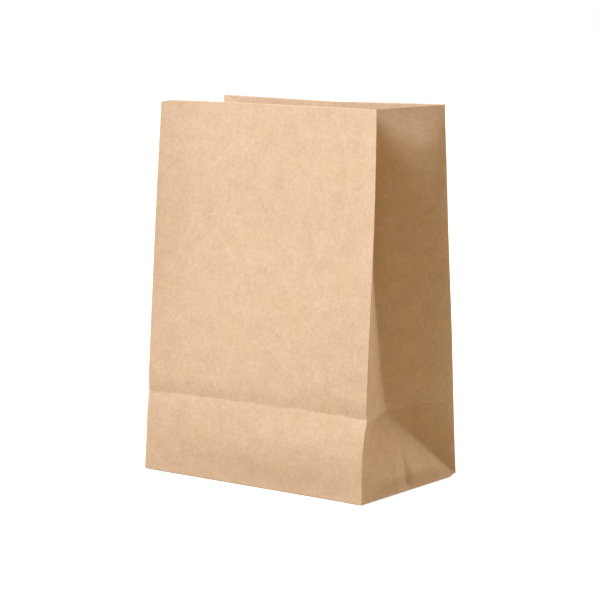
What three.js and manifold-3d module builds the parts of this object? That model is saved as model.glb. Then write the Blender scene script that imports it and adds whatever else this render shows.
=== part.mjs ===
// A brown paper lunch bag with a block bottom, standing open. It is one sheet of kraft paper, folded
// into a tube with a gusset in each side, glued down a seam in the back panel and across the base.
// Millimetres, +Z up, the front panel faces -Y, and the origin is under the middle of the base.
import * as THREE from 'three';
import { mergeVertices } from 'three/addons/utils/BufferGeometryUtils.js';
import Module from 'manifold-3d';

// the folded blank
const width = 150; // front and back panels, from side to side
const depth = 90; // each gusset, when it is pulled flat
const height = 208; // up the paper, from the fold of the base to the cut rim
const paper = 0.12; // one thickness of the sheet
const seamWidth = 14; // where the two ends of the sheet overlap in the back panel
const seamOffset = 0; // middle of the seam, to the right of the back panel's middle
const flapOverlap = 24; // how far the two base flaps lie over each other

// how the opened bag stands: the distance that each part of the rim leans in over the base
const frontLean = { left: 16, right: 10.7 };
const backLean = { left: 17.9, right: 14.8 };
const backBow = 5; // the middle of the back rim leans in this much further than its ends
const creaseLean = 3.2; // the same for the crease across the front, over the front of the base

// fineness of the model
const lowerRows = 3; // below the crease
const upperRows = 8; // above the crease
const panelColumns = 6; // across the front, and across the back on each side of the seam
const seamColumns = 2; // across the seam
const gussetColumns = 2; // across each quarter of a gusset
const tolerance = 0.002; // corners this near to a line or to each other are taken as on it

// The gusset folds in two, and its lower end spreads into a triangle over the side of the base. Its
// folds run up from the base's corners at 45 degrees, so they meet half a gusset above the base, and
// the crease that the flat bag was folded across lies at that height on the front.
const half = depth / 2;
const creaseHeight = half;
const flapDepth = half + flapOverlap / 2;

// The crease tips the lower front panel back, and the triangle leans in until the paper between them
// lies without a stretch. This is how far the triangle's top comes down as it does so.
const tip = creaseLean / creaseHeight;
const triangleCosine = (1 - tip) / Math.sqrt(1 - tip ** 2);
const apexDrop = half * (1 - triangleCosine);

const { mapLinear, lerp } = THREE.MathUtils;

// how far in and how high a point is that lies `along` a straight stretch of sheet
function leaning(stretch, lean, along) {
  const slope = lean / stretch;
  return { inward: slope * along, rise: along * Math.sqrt(1 - slope ** 2) };
}

// a point of the front panel: `across` runs from -1 at its left edge to 1 at its right edge
function frontPoint(across, along) {
  const rimLean = mapLinear(across, -1, 1, frontLean.left, frontLean.right);
  const lower = leaning(creaseHeight, creaseLean, Math.min(along, creaseHeight));
  const upper = leaning(height - creaseHeight, rimLean - creaseLean, Math.max(along - creaseHeight, 0));
  const inward = lower.inward + upper.inward;
  return new THREE.Vector3((across * width) / 2, inward - half, lower.rise + upper.rise);
}

// a point of the back panel, which bends a little along its stiff double seam
function backPoint(across, along) {
  const rimLean = mapLinear(across, -1, 1, backLean.left, backLean.right);
  const stretch = leaning(height, rimLean + backBow * (1 - Math.abs(across)), along);
  return new THREE.Vector3((across * width) / 2, half - stretch.inward, stretch.rise);
}

// a point of a gusset's middle fold, half a gusset away from the panel edges in front and behind
function gussetFold(side, along) {
  const front = frontPoint(side, along);
  const back = backPoint(side, along);
  const opening = front.distanceTo(back) / 2;
  const inset = Math.sqrt(half ** 2 - opening ** 2 - apexDrop ** 2);
  const fold = front.lerp(back, 0.5);
  return fold.add(new THREE.Vector3(-side * inset, 0, -apexDrop));
}

// points from one end of a line towards the other, which they leave out
function pointsBetween(start, end, count) {
  return Array.from({ length: count }, (_, i) => start.clone().lerp(end, i / count));
}

// points across a gusset, from the front panel's edge to just before the back panel's edge
function gussetPoints(side, along) {
  const front = frontPoint(side, along);
  const back = backPoint(side, along);
  const up = Math.min(along / creaseHeight, 1);
  const apex = gussetFold(side, Math.max(along, creaseHeight));
  const frontFold = frontPoint(side, 0).lerp(apex, up);
  const backFold = backPoint(side, 0).lerp(apex, up);
  const middle = frontPoint(side, 0).lerp(backPoint(side, 0), 0.5).lerp(apex, up);
  const stops = [front, frontFold, middle, backFold, back];
  return stops.slice(1).flatMap((stop, i) => pointsBetween(stops[i], stop, gussetColumns));
}

// numbers spread evenly from one to another, with both
function spread(start, end, count) {
  return Array.from({ length: count + 1 }, (_, i) => lerp(start, end, i / count));
}

// Places across the back panel, from its right edge to its left. The sheet's outer end rises onto the
// inner one at the edges of the seam, over a strip as wide as the paper is thick.
const seamRight = seamOffset + seamWidth / 2;
const seamLeft = seamOffset - seamWidth / 2;
const backPlaces = [
  ...spread(width / 2, seamRight, panelColumns),
  ...spread(seamRight - paper, seamLeft + paper, seamColumns),
  ...spread(seamLeft, -width / 2, panelColumns),
];
const isDoubled = (place) => place < seamRight && place > seamLeft;

// one closed line of points round the bag, anticlockwise from the front left edge
function ring(along) {
  const backLine = backPlaces.slice(0, -1).map((place) => backPoint(place / (width / 2), along));
  const leftGusset = [...gussetPoints(-1, along), backPoint(-1, along)].reverse().slice(0, -1);
  const before = [
    ...pointsBetween(frontPoint(-1, along), frontPoint(1, along), panelColumns),
    ...gussetPoints(1, along),
  ];
  return { points: [...before, ...backLine, ...leftGusset], backStart: before.length };
}

// distances up the paper, with a row on the crease
const rowHeights = [
  ...spread(0, creaseHeight, lowerRows).slice(0, -1),
  ...spread(creaseHeight, height, upperRows),
];

// Where to move a point so that each facet round it moves out by one: the nearest answer to all of
// them. A point of the bottom edge only moves sideways, so that the sheet ends level there.
function offsetDirection(normals, level) {
  const mean = new THREE.Vector3();
  normals.forEach((normal) => mean.add(normal));
  mean.normalize();
  const softness = 1e-4;
  const stiffness = 1e3;
  const sums = [softness, 0, 0, 0, softness, 0, 0, 0, softness + (level ? stiffness : 0)];
  const target = mean.clone().multiplyScalar(softness);
  for (const normal of normals) {
    const n = normal.toArray();
    for (let i = 0; i < 9; i += 1) {
      sums[i] += n[Math.floor(i / 3)] * n[i % 3];
    }
    target.add(normal);
  }
  const direction = target.applyMatrix3(new THREE.Matrix3().set(...sums).invert());
  return level ? direction.setZ(0) : direction;
}

// The sheet as a solid: closed lines of points up its middle surface, filled out by half a thickness
// inwards and by `outward` of each column outwards. Points that meet are welded, and facets that
// shrink to a line there are left out.
function thicken(rows, outward) {
  const points = [];
  const numbers = new Map();
  const level = [];
  const reach = [];
  const numberOf = (point, row, column) => {
    const key = point.toArray().map((value) => value.toFixed(4)).join(' ');
    if (!numbers.has(key)) {
      numbers.set(key, points.length);
      points.push(point);
      level.push(row === 0);
      reach.push(outward[column]);
    }
    return numbers.get(key);
  };
  const grid = rows.map((row, i) => row.map((point, j) => numberOf(point, i, j)));

  const facets = [];
  const addFacet = (...corners) => {
    if (new Set(corners).size === 3) {
      facets.push(corners);
    }
  };
  for (let i = 0; i + 1 < grid.length; i += 1) {
    for (let j = 0; j < grid[i].length; j += 1) {
      const next = (j + 1) % grid[i].length;
      addFacet(grid[i][j], grid[i][next], grid[i + 1][next]);
      addFacet(grid[i][j], grid[i + 1][next], grid[i + 1][j]);
    }
  }

  const normals = points.map(() => []);
  const edges = new Set();
  for (const corners of facets) {
    const facet = new THREE.Triangle(...corners.map((corner) => points[corner]));
    const normal = facet.getNormal(new THREE.Vector3());
    corners.forEach((corner, i) => {
      normals[corner].push(normal);
      edges.add(`${corner} ${corners[(i + 1) % 3]}`);
    });
  }

  const directions = points.map((_, i) => offsetDirection(normals[i], level[i]));
  const outer = points.map((point, i) => point.clone().addScaledVector(directions[i], reach[i]));
  const inner = points.map((point, i) => point.clone().addScaledVector(directions[i], -paper / 2));
  const count = points.length;
  const triangles = [];
  for (const [a, b, c] of facets) {
    triangles.push(a, b, c, a + count, c + count, b + count);
  }
  for (const edge of edges) {
    const [a, b] = edge.split(' ').map(Number);
    if (!edges.has(`${b} ${a}`)) {
      triangles.push(b, a, a + count, b, a + count, b + count);
    }
  }
  return solidFrom([...outer, ...inner].flatMap((point) => point.toArray()), triangles);
}

const wasm = await Module();
wasm.setup();

function solidFrom(positions, triangles) {
  const mesh = new wasm.Mesh({
    numProp: 3,
    vertProperties: new Float32Array(positions),
    triVerts: new Uint32Array(triangles),
    tolerance,
  });
  return new wasm.Manifold(mesh);
}

// a flat piece of the base from one height to another, both counted in thicknesses of paper
function slab(outline, bottom, top) {
  const shape = new THREE.Shape(outline.map(([x, y]) => new THREE.Vector2(x, y)));
  const settings = { depth: (top - bottom) * paper, bevelEnabled: false };
  const geometry = new THREE.ExtrudeGeometry(shape, settings);
  geometry.translate(0, 0, bottom * paper);
  geometry.deleteAttribute('normal');
  geometry.deleteAttribute('uv');
  const welded = mergeVertices(geometry);
  return solidFrom(welded.attributes.position.array, welded.index.array);
}

// The base, seen from below: the back flap lies outermost with mitred ends, the front flap was glued
// down before it and passes under it, and between the mitres each end shows a triangle of its side
// flap. The mitres are folds, so a corner of paper lies between each flap and the side flap. Over the
// front flap, the layer at the side flap's height is that corner, and the side flap lies one higher.
function baseSlabs() {
  const end = width / 2 - paper; // inside the thickness of the leaning side wall
  const flapEnd = end - flapDepth;
  const reach = half - flapDepth; // a flap's free edge, measured from the base's middle
  const slabs = [
    slab([[-end, half], [end, half], [flapEnd, reach], [-flapEnd, reach]], 0, 1),
    slab([[-end, -half], [end, -half], [flapEnd, -reach], [-flapEnd, -reach]], 1, 2),
  ];
  for (const side of [-1, 1]) {
    const outside = side * end;
    const inside = side * flapEnd;
    const middle = side * (end - half);
    const sideFlap = [[outside, -half], [outside, half], [inside, half], [inside, -half]];
    const backCorner = [[outside, half], [inside, half], [inside, reach]];
    const frontCorner = [[outside, -half], [inside, -half], [inside, -reach]];
    const crossing = [[inside, reach], [inside, -reach], [middle, 0]];
    slabs.push(slab(sideFlap, 2, 3));
    slabs.push(slab(backCorner, 1, 2));
    slabs.push(slab(frontCorner, 3, 4));
    slabs.push(slab(crossing, 0, 5));
  }
  return slabs;
}

// The sheet runs round the bag, and its outer end lies over the inner one down the seam, where the two
// are glued over their whole width and count as one.
function foldedSheet() {
  const rings = rowHeights.map(ring);
  const { points, backStart } = rings[0];
  const outward = points.map((_, column) => {
    const place = backPlaces[column - backStart];
    return isDoubled(place) ? 1.5 * paper : paper / 2;
  });
  const walls = thicken(rings.map((line) => line.points), outward);
  return baseSlabs().reduce((sheet, piece) => sheet.add(piece), walls);
}

function geometryOf(solid) {
  const mesh = solid.getMesh();
  const geometry = new THREE.BufferGeometry();
  geometry.setAttribute('position', new THREE.BufferAttribute(mesh.vertProperties, 3));
  geometry.setIndex(new THREE.BufferAttribute(mesh.triVerts, 1));
  geometry.computeVertexNormals();
  return geometry;
}

// plain unbleached kraft, matt and uncoated
const kraft = new THREE.MeshStandardMaterial({ color: 0xd8b48c, roughness: 0.85, metalness: 0 });

const bag = new THREE.Mesh(geometryOf(foldedSheet()), kraft);
bag.name = 'lunch_bag';

const model = new THREE.Group();
model.add(bag);

export default model;
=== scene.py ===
import math

import bpy
import numpy as np
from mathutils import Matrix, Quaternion, Vector


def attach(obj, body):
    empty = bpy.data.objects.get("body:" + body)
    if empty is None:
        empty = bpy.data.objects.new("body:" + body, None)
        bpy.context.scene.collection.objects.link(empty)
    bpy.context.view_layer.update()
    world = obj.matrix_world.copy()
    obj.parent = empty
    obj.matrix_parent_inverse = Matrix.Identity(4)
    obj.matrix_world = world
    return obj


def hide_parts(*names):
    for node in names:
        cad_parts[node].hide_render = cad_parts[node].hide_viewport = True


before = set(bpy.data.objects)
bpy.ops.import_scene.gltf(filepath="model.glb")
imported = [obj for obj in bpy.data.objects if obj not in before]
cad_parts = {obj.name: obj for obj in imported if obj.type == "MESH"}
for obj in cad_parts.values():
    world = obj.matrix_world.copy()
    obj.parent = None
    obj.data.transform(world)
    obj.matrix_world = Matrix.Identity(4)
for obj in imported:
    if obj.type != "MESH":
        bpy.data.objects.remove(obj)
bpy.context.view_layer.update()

# The paper blank: one sheet of unbleached kraft, 494 by 265 mm and 0.12 mm thick. Its sizes are in
# millimetres, and a place on it is given by two distances: round the bag from the front panel's left
# edge, and up from the fold of the base, so that the flaps of the base lie below 0.
MM = 0.001
PAPER = 0.12
WIDTH = 150.0
DEPTH = 90.0
HEIGHT = 208.0
HALF = DEPTH / 2
SEAM = 14.0
FLAP = 57.0
SHEET_START = -DEPTH - (WIDTH + SEAM) / 2
SHEET_END = WIDTH + DEPTH + (WIDTH + SEAM) / 2

# The walls. The bag was pushed open from flat, so its walls still lean in towards the rim. Each upright
# edge has its own line: how far it leans in over the base, at heights up the paper.
EDGE_LEANS = {
    "front left": ((0, 0.0), (30, 1.7), (56, 3.5), (107, 7.3), (157, 11.3), (208, 16.0)),
    "front right": ((0, 0.0), (25, 0.6), (50, 3.1), (93, 5.8), (149, 9.4), (182, 10.5), (208, 10.8)),
    "back left": ((0, 0.0), (90, 6.9), (208, 18.7)),
    "back right": ((0, 0.0), (35, 2.1), (86, 5.3), (136, 9.7), (208, 14.9)),
}
LINE_STEPS = np.arange(-12.0, HEIGHT + 13.0)
LINE_SOFTNESS = range(-12, 13, 3)
BACK_LEFT_RAISED = 0.6


def edge_line(stations):
    """The lean and the height of an upright edge, at each step up the paper."""
    up, lean = zip(*stations)
    lean = np.mean([np.interp(LINE_STEPS + shift, up, lean) for shift in LINE_SOFTNESS], axis=0)
    lean = lean - np.interp(0.0, LINE_STEPS, lean)
    rise = np.cumsum(np.sqrt(1.0 - np.gradient(lean) ** 2))
    return lean, rise - np.interp(0.0, LINE_STEPS, rise)


EDGE_LINES = {name: edge_line(stations) for name, stations in EDGE_LEANS.items()}
EDGE_LINES["back left"][1][:] *= 1.0 + BACK_LEFT_RAISED / HEIGHT


def panel_place(wall, across, up):
    """How far in and how high a wall is, at a share across it from -1, left, to 1, right."""
    share = (across + 1.0) / 2.0
    left_lean, left_rise = [np.interp(up, LINE_STEPS, line) for line in EDGE_LINES[f"{wall} left"]]
    right_lean, right_rise = [np.interp(up, LINE_STEPS, line) for line in EDGE_LINES[f"{wall} right"]]
    lean = left_lean + (right_lean - left_lean) * share
    rise = left_rise + (right_rise - left_rise) * share
    return lean, rise


# The crease across the front, a soft valley where the flat bag was folded. At shares across the panel
# from -1 to 1 it has a depth, and a rise of its line above the top of the base's triangles.
CREASE_ACROSS = (-1.0, -0.6, -0.1, 0.4, 0.75, 1.0)
CREASE_DEPTHS = (1.0, 1.1, 0.8, 0.8, 1.3, 1.9)
CREASE_RISES = (-0.9, 0.1, 0.6, 1.1, 0.7, 0.0)
CREASE_BELOW = 13.0
CREASE_ABOVE = 11.0
CREASE_UNEVEN = 0.3
CREASE_UNEVEN_WAVES = (23.0, 41.0, 0.0)
CREASE_WOBBLE = 0.35
CREASE_WOBBLE_WAVES = (17.0, 31.0, 1.0)


def two_waves(across, slow, fast, start):
    """A wavering value from -1 to 1 that doesn't repeat across the panel."""
    return (np.sin(slow * across + start) + np.sin(fast * across + start + 1.0)) / 2


def crease_valley(across, up):
    """How far in the front panel lies because of its crease."""
    depth = np.interp(across, CREASE_ACROSS, CREASE_DEPTHS)
    depth = depth * (1.0 + CREASE_UNEVEN * two_waves(across, *CREASE_UNEVEN_WAVES))
    middle = HALF + np.interp(across, CREASE_ACROSS, CREASE_RISES)
    middle = middle + CREASE_WOBBLE * two_waves(across, *CREASE_WOBBLE_WAVES)
    away = up - middle
    reach = np.where(away < 0, CREASE_BELOW, CREASE_ABOVE)
    return depth * np.clip(1.0 - np.abs(away) / reach, 0.0, 1.0) ** 2


# The bulges of the front and back panels. The front is dished, because its side edges were pulled
# forward, most of all the left one near the rim, and below the crease it swells out, more to its right.
# Each side's dish has a depth and a reach from its edge. The back panel is pushed in near its middle.
DISHES = {-1: (8.5, 24.0), 1: (2.4, 22.0)}
DISH_FROM = 40.0
DISH_OVER = 110.0
FOOT_SWELL = 2.1
FOOT_MIDDLE_SHARE = 0.6
FOOT_SIDE_SHARE = 0.4
FOOT_HEIGHT = 44.0
BACK_BOW = 6.0
BOW_AT = 0.1


def ease(x):
    """0 below 0, 1 above 1, and a soft slope between."""
    x = np.clip(x, 0.0, 1.0)
    return x * x * (3.0 - 2.0 * x)


def dishing(across, up):
    """How far in the front panel lies from straight across, between its two side edges."""
    total = 0.0
    for side, (depth, reach) in DISHES.items():
        from_edge = (1.0 - side * across) * WIDTH / 2
        total = total + depth * (1.0 - np.exp(-from_edge / reach)) * (1.0 - from_edge / WIDTH)
    return total * ease((up - DISH_FROM) / DISH_OVER)


def foot_swell(across, up):
    """How far the lower front panel swells out between the base and the crease."""
    sideways = np.sqrt(1.0 - np.clip(np.abs(across), 0, 1) ** 4)
    sideways = sideways * (FOOT_MIDDLE_SHARE + FOOT_SIDE_SHARE * across)
    return FOOT_SWELL * sideways * np.sin(math.pi * np.clip(up / FOOT_HEIGHT, 0, 1)) ** 2


def front_wall(across, up, creased=True):
    lean, rise = panel_place("front", across, up)
    if creased:
        lean = lean + crease_valley(across, up) + dishing(across, up) - foot_swell(across, up)
    return np.stack([across * WIDTH / 2 + 0 * up, lean - HALF, rise], axis=-1)


def back_wall(across, up):
    lean, rise = panel_place("back", across, up)
    from_bow = np.abs(across - BOW_AT) / (1.0 - BOW_AT * np.sign(across - BOW_AT))
    bow = BACK_BOW * (up / HEIGHT) * (1.0 - from_bow)
    rise = rise - bow * (2 * lean + bow) / (2 * HEIGHT)
    return np.stack([across * WIDTH / 2 + 0 * up, HALF - lean - bow, rise], axis=-1)


# The folds of the gussets. Each gusset folds in two down its middle, and below the front crease it
# spreads into a triangle over the side of the base, whose top comes down a little. The right triangle's
# front fold was never pressed, so it bends nearer the front edge than a true fold at 45 degrees.
NOT_ZERO = 1e-6
APEX_DROP = 2.7
TUCK_UP = (45, 65, 90, 120, 150)
TUCKS = (1.9, 1.6, 0.7, 0.3, 0.0)
BEND_UP = (0, 12, 21, 29, 37, 45)
BEND_SHARES = (0.32, 0.44, 0.73, 0.92, 0.97, 1.0)
TRIANGLE_SAG = 2.2
SAG_SHAPE = 2.6
BACK_SAG = 0.5


def mixed(a, b, share):
    """Points that lie between a and b, row by row."""
    return a + (b - a) * np.asarray(share)[..., None]


def gusset_fold(side, up):
    """The middle fold of a gusset. side is 1 on the right and -1 on the left."""
    front = front_wall(side, up, creased=False)
    back = back_wall(side, up)
    opening = np.linalg.norm(front - back, axis=-1) / 2
    inset = np.sqrt(HALF**2 - opening**2 - APEX_DROP**2) + np.interp(up, TUCK_UP, TUCKS)
    fold = (front + back) / 2
    return fold + np.stack([-side * inset, 0 * inset, 0 * inset - APEX_DROP], axis=-1)


def front_bend(side, up):
    """How far behind the front edge a gusset's front bend lies."""
    reach = np.clip(up, NOT_ZERO, HALF)
    return reach * np.where(side > 0, np.interp(reach, BEND_UP, BEND_SHARES), 1.0)


# The slack of the gussets. The paper swells out a little between its folds: before and behind the middle
# one, more so near the rim, and over the base. The right triangle also bulges along a stray crease, which
# falls in gently before its line and steeply behind it.
SWELL_BEFORE = 0.5
SWELL_BEHIND = 2.6
SWELL_SKEW = 0.75
SWELL_NEAR_RIM = 1.6
NEAR_RIM_FROM = 110.0
NEAR_RIM_OVER = 60.0
RIM_FLAT_FROM = 182.0
SWELL_OVER_BASE = 0.4
SWELL_AT_BACK = 1.3
SWELL_CLIMB = 11.0
SWELL_RISE = 0.7
SWELL_PEAK = 0.213
FOOT_BULGE = 2.4
BULGE_FADE = 30.0
STRAY_TOP = 29.0
STRAY_START = -2.6
STRAY_SLANT = 0.17
STRAY_DEPTH = 1.25
STRAY_BEFORE = 9.0
STRAY_BEHIND = 4.0
STRAY_FROM = 5.0
STRAY_FADE = 14.0


def foot_bulge(from_front, up, bend):
    """How far the right triangle bulges between its front bend and its back fold."""
    to_stray = (from_front - bend) / np.maximum(HALF + STRAY_START - bend, NOT_ZERO)
    to_back = (DEPTH - up - from_front) / np.maximum(HALF - STRAY_START - up, NOT_ZERO)
    along = np.sin(math.pi / 2 * np.clip(to_stray, 0, 1)) * ease(to_back)
    return FOOT_BULGE * along * ease(up / SWELL_CLIMB) * ease((HALF - up) / BULGE_FADE)


def stray_crease(from_front, up):
    """How far in the stray crease takes the right triangle."""
    behind = from_front - HALF - STRAY_START - STRAY_SLANT * up
    away = np.where(behind < 0, -behind / STRAY_BEFORE, behind / STRAY_BEHIND)
    window = ease(up / STRAY_FROM) * ease((STRAY_TOP - up) / STRAY_FADE)
    return STRAY_DEPTH * np.clip(1.0 - away, 0, 1) * window


def gusset_swell(side, from_front, up):
    """How far out the slack paper of a gusset stands from flat."""
    in_front = from_front <= HALF
    from_end = np.minimum(from_front, DEPTH - from_front)
    bend = np.where(in_front, front_bend(side, up), np.clip(up, NOT_ZERO, HALF))
    room = np.maximum(HALF - bend, NOT_ZERO)

    behind = SWELL_BEHIND + SWELL_NEAR_RIM * ease((up - NEAR_RIM_FROM) / NEAR_RIM_OVER)
    amount = np.where(in_front, SWELL_BEFORE, behind)
    amount = amount * (1.0 - ease((up - RIM_FLAT_FROM) / (HEIGHT - RIM_FLAT_FROM)))
    skew = np.where(in_front, 1.0, SWELL_SKEW)
    beside = amount * np.sin(math.pi * np.clip(from_end / bend, 0, 1) ** skew) * bend / HALF

    across = np.clip((from_end - bend) / room, 0, 1)
    over_base = across**SWELL_RISE * (1.0 - across) ** 2 / SWELL_PEAK * ease(up / SWELL_CLIMB)
    over_base = over_base * np.where(in_front, SWELL_OVER_BASE, SWELL_AT_BACK)

    swell = np.where(from_end < bend, beside, over_base * room / HALF)
    on_right = foot_bulge(from_front, up, bend) - stray_crease(from_front, up)
    return swell + on_right * (side > 0)


def gusset_wall(side, from_front, up):
    """A gusset, at distances behind its front edge."""
    side = side + 0 * up
    fold = gusset_fold(side, np.maximum(up, HALF))
    spread = np.clip(up / HALF, NOT_ZERO, 1.0)
    front_fold = mixed(front_wall(side, 0 * up, creased=False), fold, spread)
    back_fold = mixed(back_wall(side, 0 * up), fold, spread)
    sag = side * TRIANGLE_SAG * np.sin(math.pi * spread**SAG_SHAPE)
    front_fold[..., 0] -= sag
    back_fold[..., 0] -= sag * BACK_SAG

    reach = HALF * spread
    bend = front_bend(side, up)
    to_bend = (bend - reach) / np.maximum(DEPTH - 2 * reach, NOT_ZERO)
    front_fold = np.where((spread < 1)[..., None], mixed(front_fold, back_fold, to_bend), front_fold)
    in_front = mixed(front_wall(side, up), front_fold, from_front / bend)
    room = np.maximum(DEPTH - reach - bend, NOT_ZERO)
    between = mixed(front_fold, back_fold, (from_front - bend) / room)
    behind = mixed(back_fold, back_wall(side, up), (from_front - DEPTH + reach) / reach)
    place = np.where((from_front < bend)[..., None], in_front, between)
    place = np.where((from_front > DEPTH - reach)[..., None], behind, place)
    place[..., 0] += side * gusset_swell(side, from_front, up)
    return place


# The base. The side flaps fold in first, then the front flap and last the back flap, whose ends turn
# under at 45 degrees. Between each flap's end and the side flap lies a folded corner of paper. All of
# them lie flat on each other, and where the front flap passes over the back flap they rise to clear it.
PITCH = 0.15
OVERLAP = FLAP - HALF
CLEARING = 6.0


def base_rise(x, y):
    """How much higher the later layers lie where the two flaps cross in the middle of the base."""
    past_corner = (np.abs(x) + np.abs(y) - (WIDTH / 2 - HALF)) / math.sqrt(2)
    outside = np.maximum(np.abs(y) - OVERLAP, past_corner)
    return 2 * PITCH * (1.0 - ease(outside / CLEARING))


def base_panel(wall, across, below):
    """The front or back flap with its folded corners, at distances below the fold of the base."""
    x = across * WIDTH / 2
    from_end = WIDTH / 2 - np.abs(x)
    is_corner = from_end < below
    x = np.where(is_corner, np.sign(across) * (WIDTH / 2 - below), x)
    inwards = np.where(is_corner, from_end, below) - HALF
    y = inwards if wall == "front" else -inwards
    z = PITCH * is_corner
    if wall == "front":
        z = z + base_rise(x, y)
    return np.stack([x, y, z], axis=-1)


def base_side(side, from_front, below):
    """A side flap, which lies on top of the others inside the bag."""
    x = side * (WIDTH / 2 - below)
    y = from_front - HALF
    return np.stack([x, y, 2 * PITCH + base_rise(x, y)], axis=-1)


# The whole sheet, folded. The seam's outer end lies over the inner one down the back wall and under it
# across the base, and its cut edge stands off a little. Each corner of the base is lifted and splayed in
# its own way: its side, its wall, its lift and its reach. The rim's front left corner is bent down.
SEAM_SLOPE = 4.0
SEAM_FREE = 4.0
SEAM_LIFT = 0.25
SIDE_SETTLE = 25.0
CORNER_LIFTS = ((-1, -1, 0.5, 12.0), (1, 1, 1.3, 4.0), (1, -1, 0.0, 8.0), (-1, 1, 0.8, 7.0))
CORNER_SPLAY = 0.75
SPLAY_REACH = 16.0
CORNER_HEIGHT = 12.0
RIM_CORNER_DROP = 1.3
RIM_CORNER_REACH = 3.5


def folded(around, up):
    """The middle of the paper at each place on the sheet, with knife-sharp folds."""
    from_left = around + DEPTH
    from_right = around - WIDTH - DEPTH
    on_front = (around >= 0) & (around <= WIDTH)
    in_gusset = ((around > WIDTH) & (from_right <= 0)) | ((around < 0) & (from_left >= 0))
    front_across = around / (WIDTH / 2) - 1.0
    back_from_right = 1.0 - from_right / (WIDTH / 2)
    back_from_left = -1.0 - from_left / (WIDTH / 2)
    back_across = np.where(around > WIDTH, back_from_right, back_from_left)
    side = np.where(around > WIDTH / 2, 1.0, -1.0)
    from_front = np.where(around > WIDTH / 2, around - WIDTH, -around)
    wall_up = np.maximum(up, 0.0)
    below = np.maximum(-up, 0.0)
    on_base = (up < 0)[..., None]

    back = np.where(on_base, base_panel("back", back_across, below), back_wall(back_across, wall_up))
    front = np.where(on_base, base_panel("front", front_across, below), front_wall(front_across, wall_up))
    gusset = gusset_wall(side, np.clip(from_front, 0, DEPTH), wall_up)
    gusset[..., 2] += 2 * PITCH * (1.0 - ease(wall_up / SIDE_SETTLE))
    gusset = np.where(on_base, base_side(side, from_front, below), gusset)
    place = np.where(on_front[..., None], front, back)
    place = np.where(in_gusset[..., None], gusset, place)

    outer_end = ease((around - (SHEET_END - SEAM - SEAM_SLOPE)) / SEAM_SLOPE)
    inner_end = ease(((SHEET_START + SEAM + SEAM_SLOPE) - around) / SEAM_SLOPE)
    free = ease((around - (SHEET_END - SEAM_FREE)) / SEAM_FREE)
    place[..., 1] += np.where(up >= 0, outer_end * PITCH + free * SEAM_LIFT, 0.0)
    place[..., 2] += np.where(up < 0, inner_end * PITCH, 0.0)

    at_corner = np.hypot(around, up - HEIGHT) / RIM_CORNER_REACH
    place[..., 2] -= RIM_CORNER_DROP * np.clip(1.0 - at_corner, 0, 1)
    for end, wall, lift, reach in CORNER_LIFTS:
        away = (place[..., 0] - end * WIDTH / 2) ** 2 + (place[..., 1] - wall * HALF) ** 2
        low = np.maximum(place[..., 2], 0) / CORNER_HEIGHT
        place[..., 2] += lift * np.exp(-away / reach**2 - low)
        place[..., 1] += wall * CORNER_SPLAY * np.exp(-away / SPLAY_REACH**2 - low)
    return place


# The rounding of the folds. Every point takes the mean of the places round it on the sheet, which leaves
# flat paper as it is and bends each fold round a small radius. The radius is larger at the right
# triangle's front bend, and level with its top, where the paper was never pressed.
FOLD_RADIUS = 0.55
SOFT_RADIUS = 3.6
SOFT_WIDTH = 6.0
SOFT_FROM_BASE = 16.0
SOFT_FROM_TOP = 14.0
LEVEL_WIDTH = 5.0
LEVEL_FROM_EDGE = 10.0
LEVEL_FROM_FOLD = 20.0
LEVEL_SHARE = 0.8
RINGS = ((0.45, 6), (0.85, 12))


def rounded(around, up):
    """The middle of the paper at each place on the sheet, with its folds rounded."""
    from_front = around - WIDTH
    near_bend = np.exp(-(((from_front - front_bend(1, up)) / SOFT_WIDTH) ** 2))
    near_bend *= ease(up / SOFT_FROM_BASE) * ease((HALF - up) / SOFT_FROM_TOP) * (around > WIDTH)
    near_level = np.exp(-(((up - HALF) / LEVEL_WIDTH) ** 2))
    near_level *= ease(from_front / LEVEL_FROM_EDGE) * ease((HALF - from_front) / LEVEL_FROM_FOLD)
    softness = np.maximum(near_bend, LEVEL_SHARE * near_level)
    radius = FOLD_RADIUS + (SOFT_RADIUS - FOLD_RADIUS) * softness

    total = folded(around, up)
    samples = 1
    for share, count in RINGS:
        for k in range(count):
            angle = 2 * math.pi * (k + share) / count
            step_around = share * math.cos(angle) * radius
            step_up = share * math.sin(angle) * radius
            total = total + folded(around + step_around, up + step_up)
            samples += 1
    return total / samples


# The sheet's mesh: rows and columns that are close together beside a fold and wider apart on the flat.
# Where a fold runs at 45 degrees, rows and columns keep the same steps, so it passes through corners.
# Each small square is then cut along the diagonal that lies nearer the paper.
BESIDE_FOLD = (0.0, 0.25, 0.6, 1.1, 2.0)
GUSSET_PITCH = 1.25
PANEL_PITCH = 3.0
BACK_PITCH = 2.0
TO_SEAM = WIDTH / 2 - SEAM / 2 - FLAP


def steps(length, pitch, fine_start=True, fine_end=True):
    """Distances from 0 to a length, close together at the ends that are folds."""
    start = list(BESIDE_FOLD) if fine_start else [0.0]
    end = [length - f for f in reversed(BESIDE_FOLD)] if fine_end else [length]
    count = max(1, round((end[0] - start[-1]) / pitch))
    return np.concatenate([start[:-1], np.linspace(start[-1], end[0], count + 1), end[1:]])


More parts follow.
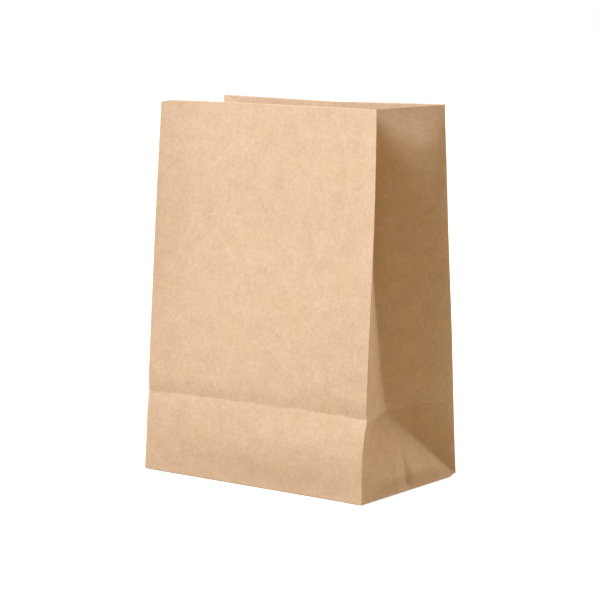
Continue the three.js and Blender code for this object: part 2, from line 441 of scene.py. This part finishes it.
gusset_steps = steps(HALF, GUSSET_PITCH)
flap_steps = steps(FLAP, PANEL_PITCH, fine_end=False)
middle_steps = steps(WIDTH - 2 * FLAP, PANEL_PITCH, False, False)[1:-1] + FLAP
beside_seam = FLAP + steps(TO_SEAM, BACK_PITCH, fine_start=False)[1:]
seam_steps = FLAP + TO_SEAM + steps(SEAM, BACK_PITCH)[1:]
back_steps = np.concatenate([flap_steps, beside_seam, seam_steps])
front_columns = np.concatenate([flap_steps, middle_steps, WIDTH - flap_steps[::-1]])
gusset_columns = np.concatenate([gusset_steps, DEPTH - gusset_steps[::-1][1:]])[1:-1]
columns = np.concatenate(
    [
        -DEPTH - back_steps[::-1],
        gusset_columns - DEPTH,
        front_columns,
        WIDTH + gusset_columns,
        WIDTH + DEPTH + back_steps,
    ]
)
wall_steps = HALF + steps(HEIGHT - HALF, PANEL_PITCH)[1:]
rows = np.concatenate([-flap_steps[::-1], gusset_steps[1:], wall_steps])

around, up = np.meshgrid(columns, rows)
place = rounded(around, up)
centre_around = (around[1:, 1:] + around[:-1, :-1]) / 2
centre_up = (up[1:, 1:] + up[:-1, :-1]) / 2
centre = rounded(centre_around, centre_up)
rising = np.linalg.norm((place[:-1, :-1] + place[1:, 1:]) / 2 - centre, axis=-1)
falling = np.linalg.norm((place[1:, :-1] + place[:-1, 1:]) / 2 - centre, axis=-1)
cut_rising = (rising <= falling)[..., None]

number = np.arange(around.size).reshape(around.shape)
low_left, low_right = number[:-1, :-1], number[:-1, 1:]
high_left, high_right = number[1:, :-1], number[1:, 1:]
lower_if_rising = np.stack([low_left, low_right, high_right], -1)
upper_if_rising = np.stack([low_left, high_right, high_left], -1)
lower_if_falling = np.stack([low_left, low_right, high_left], -1)
upper_if_falling = np.stack([low_right, high_right, high_left], -1)
lower = np.where(cut_rising, lower_if_rising, lower_if_falling)
upper = np.where(cut_rising, upper_if_rising, upper_if_falling)
triangles = np.concatenate([lower.reshape(-1, 3), upper.reshape(-1, 3)])
place[..., 2] += PAPER / 2

sheet_mesh = bpy.data.meshes.new("bag_sheet")
sheet_mesh.from_pydata((place.reshape(-1, 3) * MM).tolist(), [], triangles.tolist())
sheet_uv = sheet_mesh.uv_layers.new(name="sheet")
corner_of = np.empty(len(sheet_mesh.loops), dtype=np.int32)
sheet_mesh.loops.foreach_get("vertex_index", corner_of)
flat_places = np.stack([around.ravel(), up.ravel()], -1) * MM
sheet_uv.uv.foreach_set("vector", flat_places[corner_of].ravel().astype(np.float32))
sheet_mesh.polygons.foreach_set("use_smooth", np.ones(len(sheet_mesh.polygons), dtype=bool))

# Wear with a painted highlight, and slack, kept on the sheet's points. Paper is rubbed paler along its
# folds and cut edges, less so along the soft front crease. These pale lines are also a painted highlight
# where folds and edges catch the light. It is free to cockle away from its folds and above the pasted base.
UPRIGHT_EDGES = (-DEPTH, 0, WIDTH, WIDTH + DEPTH)
FAR = 99.0
WEAR_AND_HIGHLIGHT_WIDTH = 0.9
CREASE_WEAR_AND_HIGHLIGHT = 0.35
CREASE_ENDS = 1.5
CREASE_WIDTH = 3
CUT_WEAR_AND_HIGHLIGHT_WIDTH = 0.5
SLACK_FROM_FOLD = 22.0
SLACK_FROM_BASE = 20.0


def distance_to_folds(around, up):
    """How far each place is from the nearest fold, on the flat sheet."""
    from_front = np.where(around > WIDTH / 2, around - WIDTH, -around)
    from_end = np.minimum(from_front, DEPTH - from_front)
    in_gusset = (from_front > 0) & (from_front < DEPTH)
    on_front = (around > 0) & (around < WIDTH)
    on_back = np.where(around > WIDTH, around - WIDTH - DEPTH, -DEPTH - around)
    across = np.where(on_front, around, on_back)
    panel_end = np.minimum(across, WIDTH - across)
    on_wall = up >= 0
    pressed = (around < 0) | (from_front > HALF)
    level = on_front | (in_gusset & (from_front < HALF))
    folds = (
        (in_gusset & (up > HALF), np.abs(from_front - HALF)),
        (in_gusset & on_wall & pressed, np.abs(from_end - up) / math.sqrt(2)),
        (on_wall & level, np.abs(up - HALF)),
        (~in_gusset & ~on_wall, np.abs(panel_end + up) / math.sqrt(2)),
    )
    nearest = np.minimum(np.min([np.abs(around - edge) for edge in UPRIGHT_EDGES], axis=0), np.abs(up))
    for applies, distance in folds:
        nearest = np.minimum(nearest, np.where(applies, distance, FAR))
    return nearest


from_fold = distance_to_folds(around, up)
from_cut = np.min([HEIGHT - up, up + FLAP, around - SHEET_START, SHEET_END - around], axis=0)
on_crease = (around > CREASE_ENDS) & (around < WIDTH - CREASE_ENDS) & (np.abs(up - HALF) < CREASE_WIDTH)
# Painted highlight: the pale lines along folds and cut edges are partly rubbed wear, partly light caught on
# the edges.
wear_and_highlight = np.exp(-((from_fold / WEAR_AND_HIGHLIGHT_WIDTH) ** 2)) * np.where(on_crease, CREASE_WEAR_AND_HIGHLIGHT, 1.0)
cut = np.exp(-((from_cut / CUT_WEAR_AND_HIGHLIGHT_WIDTH) ** 2))
slack = ease(from_fold / SLACK_FROM_FOLD) * ease(up / SLACK_FROM_BASE)
for name, values in (("wear_and_highlight", wear_and_highlight), ("cut", cut), ("slack", slack)):
    layer = sheet_mesh.attributes.new(name, "FLOAT", "POINT")
    layer.data.foreach_set("value", values.ravel().astype(np.float32))

# Kraft finish: unbleached fibres lie in faint clouds, with thin pale and dark hairs, small dark specks
# of bark, and lines rubbed paler where the sheet is folded or cut. These lines are partly real wear and
# partly a painted highlight along the folds and edges. It has no coating and no print. A noise is given
# by its scale, detail and roughness, and hairs by turn, width, length and thinness.
PALE_KRAFT = (0.775, 0.592, 0.444, 1.0)
DARK_KRAFT = (0.572, 0.404, 0.272, 1.0)
WARM_KRAFT = (0.705, 0.512, 0.310, 1.0)
RUBBED_AND_HIGHLIT_KRAFT = (0.820, 0.660, 0.500, 1.0)
BARK = (0.260, 0.140, 0.065, 1.0)
CLOUDS = (0.10, 3.0, 0.6)
MOTTLE = (0.45, 3.0, 0.65)
GRAIN = (2.2, 2.0, 0.6)
STREAKS = (1.0, 2.0)
STREAK_STRETCH = (1.6, 40.0, 1.0)
PALE_HAIRS = ((28, 0.5, 2.6, 22.0), (-52, 0.45, 2.2, 24.0))
DARK_HAIRS = ((76, 0.55, 3.0, 26.0), (-14, 0.5, 2.4, 26.0))
WARM_PATCHES = (0.055, 3.0, 0.6)
WARM_ABOVE = 0.42
WARM_STRENGTH = 1.2
SPECK_TURN = 40
SPECK_STRETCH = (1.5, 0.8, 1.0)
SPECK_CELLS = 0.24
SPECK_RARITY = 0.45
SPECK_SIZE = 0.16
SPECK_EDGE = 30.0
SPECK_STRENGTH = 0.42
RUB_AND_HIGHLIGHT_LEAST = 0.35
RUB_AND_HIGHLIGHT_MOTTLE = 0.9
FOLD_RUB_AND_HIGHLIGHT = 0.26
CUT_RUB_AND_HIGHLIGHT = 0.35
ROUGHNESS_LEAST = 0.76
ROUGHNESS_MOTTLE = 0.16
GLOSS = 0.35
RELIEF_DEPTH = 0.06 * MM
RELIEF_STRENGTH = 0.5
COLOUR_MIX_INPUTS = (0, 6, 7)
COLOUR_MIX_RESULT = 2


def give(tree, socket, value):
    """Links a socket to another node's output, or sets its plain value."""
    if isinstance(value, bpy.types.NodeSocket):
        tree.links.new(value, socket)
    else:
        socket.default_value = value


def add_node(tree, kind, inputs=(), **settings):
    """A node with its settings and its inputs."""
    node = tree.nodes.new(kind)
    for name, value in settings.items():
        setattr(node, name, value)
    for name, value in dict(inputs).items():
        give(tree, node.inputs[name], value)
    return node


def add_math(tree, operation, *values, clamp=False):
    node = add_node(tree, "ShaderNodeMath", operation=operation, use_clamp=clamp)
    for socket, value in zip(node.inputs, values):
        give(tree, socket, value)
    return node.outputs[0]


def add_mix(tree, share, a, b):
    node = add_node(tree, "ShaderNodeMix", data_type="RGBA")
    for index, value in zip(COLOUR_MIX_INPUTS, (share, a, b)):
        give(tree, node.inputs[index], value)
    return node.outputs[COLOUR_MIX_RESULT]


def weighted(tree, total, parts):
    """Adds to a total each part times its weight."""
    for part, weight in parts:
        total = add_math(tree, "ADD", total, add_math(tree, "MULTIPLY", part, weight))
    return total


def stretched(tree, place, turn, scale):
    """Places on the sheet, turned by some degrees and stretched."""
    inputs = {"Vector": place, "Rotation": (0, 0, math.radians(turn)), "Scale": scale}
    return add_node(tree, "ShaderNodeMapping", inputs, vector_type="TEXTURE").outputs[0]


def noise(tree, place, scale, detail=2.0, roughness=0.5):
    inputs = {"Vector": place, "Scale": scale, "Detail": detail, "Roughness": roughness}
    return add_node(tree, "ShaderNodeTexNoise", inputs).outputs["Fac"]


def hairs(tree, place, turn, width, length, thinness):
    """Thin lines that follow the level curves of a stretched noise, from 0 to 1."""
    field = noise(tree, stretched(tree, place, turn, (length, width, 1.0)), 1.0, 1.0)
    away = add_math(tree, "ABSOLUTE", add_math(tree, "SUBTRACT", field, 0.5))
    return add_math(tree, "SUBTRACT", 1.0, add_math(tree, "MULTIPLY", away, thinness), clamp=True)


kraft = bpy.data.materials.new("unbleached_kraft")
kraft.use_nodes = True
tree = kraft.node_tree
shader = tree.nodes["Principled BSDF"]
sheet_map = add_node(tree, "ShaderNodeUVMap", uv_map="sheet").outputs[0]
to_mm = {0: sheet_map, 1: (1.0 / MM,) * 3}
sheet_place = add_node(tree, "ShaderNodeVectorMath", to_mm, operation="MULTIPLY").outputs[0]
clouds = noise(tree, sheet_place, *CLOUDS)
mottle = noise(tree, sheet_place, *MOTTLE)
grain = noise(tree, sheet_place, *GRAIN)
streaks = noise(tree, stretched(tree, sheet_place, 0, STREAK_STRETCH), *STREAKS)
pale_hairs = add_math(tree, "MAXIMUM", *[hairs(tree, sheet_place, *hair) for hair in PALE_HAIRS])
dark_hairs = add_math(tree, "MAXIMUM", *[hairs(tree, sheet_place, *hair) for hair in DARK_HAIRS])

tones = (
    (clouds, 0.9),
    (mottle, 1.25),
    (grain, 0.9),
    (streaks, 0.08),
    (pale_hairs, 0.10),
    (dark_hairs, -0.16),
)
tone = weighted(tree, 0.5, [(add_math(tree, "SUBTRACT", field, 0.5), weight) for field, weight in tones])
tone = add_math(tree, "MAXIMUM", add_math(tree, "MINIMUM", tone, 1.0), 0.0)
colour = add_mix(tree, tone, DARK_KRAFT, PALE_KRAFT)

warm_patches = add_math(tree, "SUBTRACT", noise(tree, sheet_place, *WARM_PATCHES), WARM_ABOVE)
warm_share = add_math(tree, "MULTIPLY", warm_patches, WARM_STRENGTH, clamp=True)
colour = add_mix(tree, warm_share, colour, WARM_KRAFT)

speck_place = stretched(tree, sheet_place, SPECK_TURN, SPECK_STRETCH)
speck_cells = add_node(tree, "ShaderNodeTexVoronoi", {"Vector": speck_place, "Scale": SPECK_CELLS})
speck_draw = add_node(tree, "ShaderNodeSeparateColor", {"Color": speck_cells.outputs["Color"]}).outputs[0]
speck_chance = add_math(tree, "MAXIMUM", add_math(tree, "SUBTRACT", speck_draw, SPECK_RARITY), 0.0)
speck_size = add_math(tree, "MULTIPLY", speck_chance, SPECK_SIZE)
speck_inside = add_math(tree, "SUBTRACT", speck_size, speck_cells.outputs["Distance"])
specks = add_math(tree, "MULTIPLY", speck_inside, SPECK_EDGE, clamp=True)
colour = add_mix(tree, add_math(tree, "MULTIPLY", specks, SPECK_STRENGTH), colour, BARK)

# Paler lines along folds and cut edges: rubbed wear, and also a painted highlight where they catch the light.
fold_wear_and_highlight_line = add_node(tree, "ShaderNodeAttribute", attribute_name="wear_and_highlight").outputs["Fac"]
cut_wear_and_highlight_line = add_node(tree, "ShaderNodeAttribute", attribute_name="cut").outputs["Fac"]
patchy = weighted(tree, RUB_AND_HIGHLIGHT_LEAST, [(mottle, RUB_AND_HIGHLIGHT_MOTTLE)])
fold_rub_and_highlight_share = add_math(tree, "MULTIPLY", add_math(tree, "MULTIPLY", fold_wear_and_highlight_line, patchy), FOLD_RUB_AND_HIGHLIGHT)
cut_rub_and_highlight_share = add_math(tree, "MULTIPLY", cut_wear_and_highlight_line, CUT_RUB_AND_HIGHLIGHT)
colour = add_mix(tree, add_math(tree, "ADD", fold_rub_and_highlight_share, cut_rub_and_highlight_share, clamp=True), colour, RUBBED_AND_HIGHLIT_KRAFT)
give(tree, shader.inputs["Base Color"], colour)
give(tree, shader.inputs["Roughness"], weighted(tree, ROUGHNESS_LEAST, [(mottle, ROUGHNESS_MOTTLE)]))
give(tree, shader.inputs["Specular IOR Level"], GLOSS)

fibre_relief = add_math(tree, "MULTIPLY", grain, 0.7)
relief = weighted(tree, fibre_relief, [(pale_hairs, 0.3), (mottle, 0.8)])
bump_inputs = {"Height": relief, "Strength": RELIEF_STRENGTH, "Distance": RELIEF_DEPTH}
give(tree, shader.inputs["Normal"], add_node(tree, "ShaderNodeBump", bump_inputs).outputs[0])

# Cockle: paper that has been folded flat and opened never stands quite flat again. This tree moves the
# sheet's points a little along their normals, freely where they are slack and not at all at a fold. The
# sheet then gets its thickness, and becomes the bag.
COCKLE_INPUTS = (
    ("Broad depth", 1.5 * MM),
    ("Broad waves per metre", 14.0),
    ("Small depth", 0.34 * MM),
    ("Small waves per metre", 46.0),
    ("Seed", 4.0),
)
cockle = bpy.data.node_groups.new("paper_cockle", "GeometryNodeTree")
cockle.is_modifier = True
cockle.interface.new_socket("Geometry", in_out="OUTPUT", socket_type="NodeSocketGeometry")
cockle.interface.new_socket("Geometry", in_out="INPUT", socket_type="NodeSocketGeometry")
for label, value in COCKLE_INPUTS:
    socket = cockle.interface.new_socket(label, in_out="INPUT", socket_type="NodeSocketFloat")
    socket.default_value = value
finish_input = cockle.interface.new_socket("Finish", in_out="INPUT", socket_type="NodeSocketMaterial")

given = add_node(cockle, "NodeGroupInput")
at = add_node(cockle, "GeometryNodeInputPosition").outputs[0]
normal = add_node(cockle, "GeometryNodeInputNormal").outputs[0]
slack_name = {"Name": "slack"}
slack_here = add_node(cockle, "GeometryNodeInputNamedAttribute", slack_name, data_type="FLOAT").outputs[0]
waves = []
for size in ("Broad", "Small"):
    scale = given.outputs[f"{size} waves per metre"]
    wave_inputs = {"Vector": at, "W": given.outputs["Seed"], "Scale": scale, "Detail": 1.0}
    wave = add_node(cockle, "ShaderNodeTexNoise", wave_inputs, noise_dimensions="4D").outputs[0]
    waves.append((add_math(cockle, "SUBTRACT", wave, 0.5), given.outputs[f"{size} depth"]))
push = add_math(cockle, "MULTIPLY", weighted(cockle, 0.0, waves), slack_here)
offset = add_node(cockle, "ShaderNodeVectorMath", {0: normal, "Scale": push}, operation="SCALE").outputs[0]
moved = add_node(cockle, "GeometryNodeSetPosition", {"Geometry": given.outputs["Geometry"], "Offset": offset})
real = add_node(cockle, "GeometryNodeRealizeInstances", {"Geometry": moved.outputs[0]})
finish_inputs = {"Geometry": real.outputs[0], "Material": given.outputs["Finish"]}
finished = add_node(cockle, "GeometryNodeSetMaterial", finish_inputs)
add_node(cockle, "NodeGroupOutput", {"Geometry": finished.outputs[0]})

flat_bag = bpy.data.objects.new("folded_sheet", sheet_mesh)
bpy.context.scene.collection.objects.link(flat_bag)
wavy = flat_bag.modifiers.new("paper cockle", "NODES")
wavy.node_group = cockle
wavy[finish_input.identifier] = kraft
thickness = flat_bag.modifiers.new("paper thickness", "SOLIDIFY")
thickness.thickness = PAPER * MM
thickness.offset = 0.0
finished_bag = flat_bag.evaluated_get(bpy.context.evaluated_depsgraph_get())
bag_mesh = bpy.data.meshes.new_from_object(finished_bag)
bag_mesh.name = "lunch_bag_paper"
bpy.data.objects.remove(flat_bag)
bag = bpy.data.objects.new("lunch_bag_paper", bag_mesh)
bpy.context.scene.collection.objects.link(bag)

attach(bag, "root")
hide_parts("lunch_bag")

# The studio: a white floor and surround, in metres. The camera sees the floor glow a little, more so far
# away, which keeps it white but for the bag's soft shadow. To the bag, floor and surround are dull and
# warm, and send a little light back.
FLOOR_OUTLINE = ((-1, -1), (1, -1), (1, 1), (-1, 1))
FLOOR_REACH = 3.0
FLOOR_DROP = 0.1 * MM
FLOOR_SEEN = (0.80, 0.80, 0.80, 1.0)
FLOOR_BOUNCE = (0.36, 0.29, 0.175, 1.0)
GLOW = {"From Min": 0.3, "From Max": 1.0, "To Min": 0.62, "To Max": 1.05}
SURROUND_SEEN = (1.0, 1.0, 1.0, 1.0)
SURROUND_LIGHT = (1.0, 0.77, 0.525, 1.0)
SURROUND_STRENGTH = 0.485


def end_tree(tree, unseen, seen, output):
    """Gives the camera one shader and all other rays another."""
    camera_ray = add_node(tree, "ShaderNodeLightPath").outputs["Is Camera Ray"]
    shaders = {0: camera_ray, 1: unseen.outputs[0], 2: seen.outputs[0]}
    add_node(tree, output, {"Surface": add_node(tree, "ShaderNodeMixShader", shaders).outputs[0]})


floor_corners = [(x * FLOOR_REACH, y * FLOOR_REACH, -FLOOR_DROP) for x, y in FLOOR_OUTLINE]
floor_mesh = bpy.data.meshes.new("studio_floor")
floor_mesh.from_pydata(floor_corners, [], [(0, 1, 2, 3)])
floor = bpy.data.objects.new("studio_floor", floor_mesh)
bpy.context.scene.collection.objects.link(floor)

floor_white = bpy.data.materials.new("studio_floor_white")
floor_white.use_nodes = True
tree = floor_white.node_tree
tree.nodes.clear()
floor_place = add_node(tree, "ShaderNodeTexCoord").outputs["Object"]
floor_far = add_node(tree, "ShaderNodeVectorMath", {0: floor_place}, operation="LENGTH").outputs["Value"]
glow_strength = add_node(tree, "ShaderNodeMapRange", {"Value": floor_far, **GLOW}).outputs[0]
glow = add_node(tree, "ShaderNodeEmission", {"Strength": glow_strength})
seen_floor = add_node(tree, "ShaderNodeBsdfDiffuse", {"Color": FLOOR_SEEN})
bright_floor = add_node(tree, "ShaderNodeAddShader", {0: seen_floor.outputs[0], 1: glow.outputs[0]})
dull_floor = add_node(tree, "ShaderNodeBsdfDiffuse", {"Color": FLOOR_BOUNCE})
end_tree(tree, dull_floor, bright_floor, "ShaderNodeOutputMaterial")
floor_mesh.materials.append(floor_white)

surround = bpy.data.worlds.new("studio_surround")
bpy.context.scene.world = surround
surround.use_nodes = True
tree = surround.node_tree
tree.nodes.clear()
dim = add_node(tree, "ShaderNodeBackground", {"Color": SURROUND_LIGHT, "Strength": SURROUND_STRENGTH})
white = add_node(tree, "ShaderNodeBackground", {"Color": SURROUND_SEEN, "Strength": 1.0})
end_tree(tree, dim, white, "ShaderNodeOutputWorld")

# The lamps: two softboxes. The key stands at the left front, and its narrowed beam is aimed to the right
# of the bag, so that the front panel darkens to its left. The fill stands behind the bag on the right and
# rakes across the right gusset.
LAMP_CENTRE = Vector((0, 0, 0.1))
SOFTBOX_SIZE = (0.9, 0.7)


def direction(azimuth, elevation):
    """Unit vector from the bag, at degrees round from the front towards the right, and up."""
    a, e = math.radians(azimuth), math.radians(elevation)
    return Vector((math.sin(a) * math.cos(e), -math.cos(a) * math.cos(e), math.sin(e)))


def softbox(name, azimuth, elevation, distance, power, tint, aim, spread):
    data = bpy.data.lights.new(name, "AREA")
    data.shape = "RECTANGLE"
    data.size, data.size_y = SOFTBOX_SIZE
    data.energy = power
    data.color = tint
    data.spread = math.radians(spread)
    lamp = bpy.data.objects.new(name, data)
    lamp.location = LAMP_CENTRE + direction(azimuth, elevation) * distance
    lamp.rotation_euler = (Vector(aim) - lamp.location).to_track_quat("-Z", "Y").to_euler()
    bpy.context.scene.collection.objects.link(lamp)


softbox("key_softbox", -26, 45, 1.25, power=6.9, tint=(0.97, 1.0, 1.06), aim=(0.35, 0, 0.15), spread=100)
softbox("fill_softbox", 165, 32, 1.1, power=9.3, tint=(1.0, 0.96, 0.86), aim=(0, 0, 0.1), spread=180)

# The camera stands where the photograph was taken from, at the place, the aim and the lens that put the
# bag's own corners where they are seen.
CAMERA_TARGET = Vector((0.478, -0.335, 97.794)) * MM
CAMERA_AZIMUTH = 36.597
CAMERA_ELEVATION = 8.265
CAMERA_ROLL = 0.127
CAMERA_DISTANCE = 1.261245
CAMERA_LENS = 136.2
SENSOR_WIDTH = 36.0
camera_data = bpy.data.cameras.new("photo_camera")
camera_data.sensor_width = SENSOR_WIDTH
camera_data.lens = CAMERA_LENS
camera = bpy.data.objects.new("photo_camera", camera_data)
towards_camera = direction(CAMERA_AZIMUTH, CAMERA_ELEVATION)
camera.location = CAMERA_TARGET + towards_camera * CAMERA_DISTANCE
facing = (-towards_camera).to_track_quat("-Z", "Y")
camera.rotation_euler = (facing @ Quaternion((0, 0, 1), math.radians(CAMERA_ROLL))).to_euler()
bpy.context.scene.collection.objects.link(camera)
bpy.context.scene.camera = camera
bpy.context.scene.view_settings.view_transform = "Standard"
